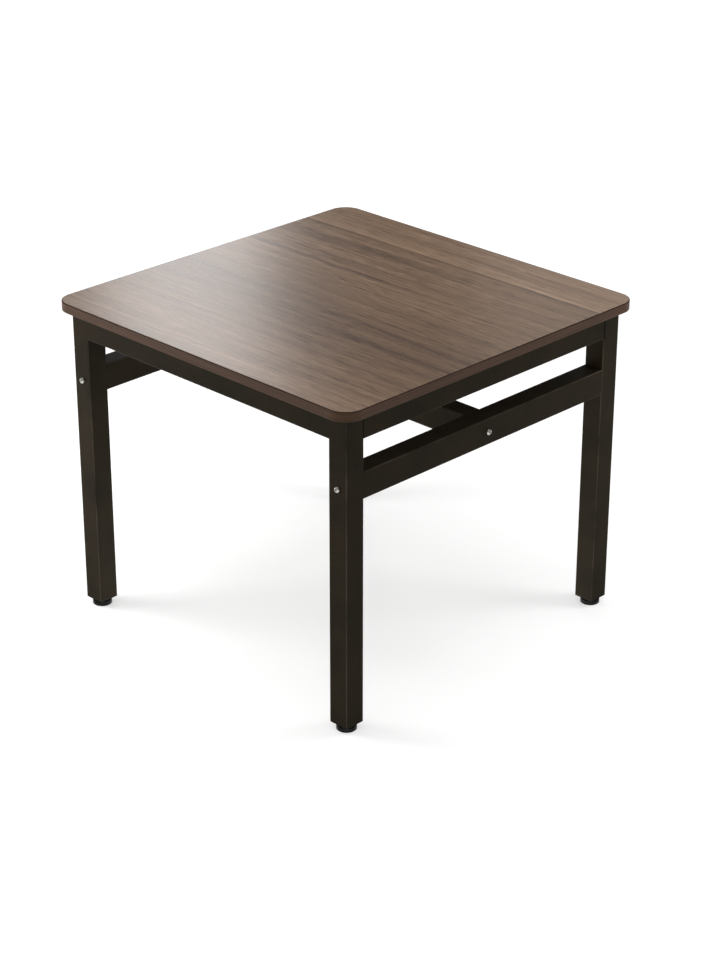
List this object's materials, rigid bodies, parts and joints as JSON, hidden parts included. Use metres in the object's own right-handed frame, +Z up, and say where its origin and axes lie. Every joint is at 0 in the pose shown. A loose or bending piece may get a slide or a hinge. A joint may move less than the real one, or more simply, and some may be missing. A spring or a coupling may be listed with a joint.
{
  "type": "square dining table",
  "caption": "Square dining table: walnut-pattern laminate top on a bolted black steel-tube frame with side stretchers, a cross rail and levelling feet.",
  "frame": {"origin": "on the floor under the middle of the top, feet screwed right in", "axes": "+Z up; +Y from the front apron to the rear apron; the stretchers run along Y on the left and right"},
  "size_m": [0.9, 0.9, 0.745],
  "materials": {
    "walnut_laminate": "satin walnut-pattern laminate",
    "edge_band": "dark brown edge band",
    "chipboard": "raw chipboard",
    "backing_sheet": "matt balancing sheet",
    "black_powder_coat": "semi-gloss near-black powder coat",
    "zinc_plated_steel": "bright zinc plate",
    "black_nylon": "moulded black nylon"
  },
  "bodies": {
    "frame": {"apron_front": "black_powder_coat", "apron_left": "black_powder_coat", "apron_lock_nuts": "zinc_plated_steel", "apron_lock_screws": "zinc_plated_steel", "apron_rear": "black_powder_coat", "apron_right": "black_powder_coat", "apron_sleeve_front_left": "black_powder_coat", "apron_sleeve_front_right": "black_powder_coat", "apron_sleeve_rear_left": "black_powder_coat", "apron_sleeve_rear_right": "black_powder_coat", "cross_rail": "black_powder_coat", "cross_rail_bolts": "zinc_plated_steel", "cross_rail_left_plate": "black_powder_coat", "cross_rail_right_plate": "black_powder_coat", "foot_nuts": "zinc_plated_steel", "leg_front_left": "black_powder_coat", "leg_front_right": "black_powder_coat", "leg_plug_front_left": "black_nylon", "leg_plug_front_right": "black_nylon", "leg_plug_rear_left": "black_nylon", "leg_plug_rear_right": "black_nylon", "leg_rear_left": "black_powder_coat", "leg_rear_right": "black_powder_coat", "rail_weld_nuts": "zinc_plated_steel", "stretcher_bolts": "zinc_plated_steel", "stretcher_left": "black_powder_coat", "stretcher_left_front_plate": "black_powder_coat", "stretcher_left_rear_plate": "black_powder_coat", "stretcher_right": "black_powder_coat", "stretcher_right_front_plate": "black_powder_coat", "stretcher_right_rear_plate": "black_powder_coat", "tabletop_backing": "backing_sheet", "tabletop_core": "chipboard", "tabletop_edge_band": "edge_band", "tabletop_laminate": "walnut_laminate", "top_brackets": "black_powder_coat", "top_screws": "zinc_plated_steel"},
    "pad_front_left": {"foot_pad_front_left": "black_nylon"},
    "stud_front_left": {"foot_stud_front_left": "zinc_plated_steel"},
    "pad_front_right": {"foot_pad_front_right": "black_nylon"},
    "stud_front_right": {"foot_stud_front_right": "zinc_plated_steel"},
    "pad_rear_left": {"foot_pad_rear_left": "black_nylon"},
    "stud_rear_left": {"foot_stud_rear_left": "zinc_plated_steel"},
    "pad_rear_right": {"foot_pad_rear_right": "black_nylon"},
    "stud_rear_right": {"foot_stud_rear_right": "zinc_plated_steel"}
  },
  "joints": [
    {"name": "foot_height_front_left", "type": "slide", "parent": "frame", "child": "pad_front_left", "axis": [0, 0, -1], "range_m": [0, 0.012]},
    {"name": "foot_turn_front_left", "type": "hinge", "parent": "pad_front_left", "child": "stud_front_left", "pos_m": [-0.397, -0.397, 0], "axis": [0, 0, -1], "range_deg": [0, 3456]},
    {"name": "foot_height_front_right", "type": "slide", "parent": "frame", "child": "pad_front_right", "axis": [0, 0, -1], "range_m": [0, 0.012]},
    {"name": "foot_turn_front_right", "type": "hinge", "parent": "pad_front_right", "child": "stud_front_right", "pos_m": [0.397, -0.397, 0], "axis": [0, 0, -1], "range_deg": [0, 3456]},
    {"name": "foot_height_rear_left", "type": "slide", "parent": "frame", "child": "pad_rear_left", "axis": [0, 0, -1], "range_m": [0, 0.012]},
    {"name": "foot_turn_rear_left", "type": "hinge", "parent": "pad_rear_left", "child": "stud_rear_left", "pos_m": [-0.397, 0.397, 0], "axis": [0, 0, -1], "range_deg": [0, 3456]},
    {"name": "foot_height_rear_right", "type": "slide", "parent": "frame", "child": "pad_rear_right", "axis": [0, 0, -1], "range_m": [0, 0.012]},
    {"name": "foot_turn_rear_right", "type": "hinge", "parent": "pad_rear_right", "child": "stud_rear_right", "pos_m": [0.397, 0.397, 0], "axis": [0, 0, -1], "range_deg": [0, 3456]}
  ],
  "couplings": [
    {"joint": "foot_turn_front_left", "follows": "foot_height_front_left", "rad_per_m": 5026.5},
    {"joint": "foot_turn_front_right", "follows": "foot_height_front_right", "rad_per_m": 5026.5},
    {"joint": "foot_turn_rear_left", "follows": "foot_height_rear_left", "rad_per_m": 5026.5},
    {"joint": "foot_turn_rear_right", "follows": "foot_height_rear_right", "rad_per_m": 5026.5}
  ]
}
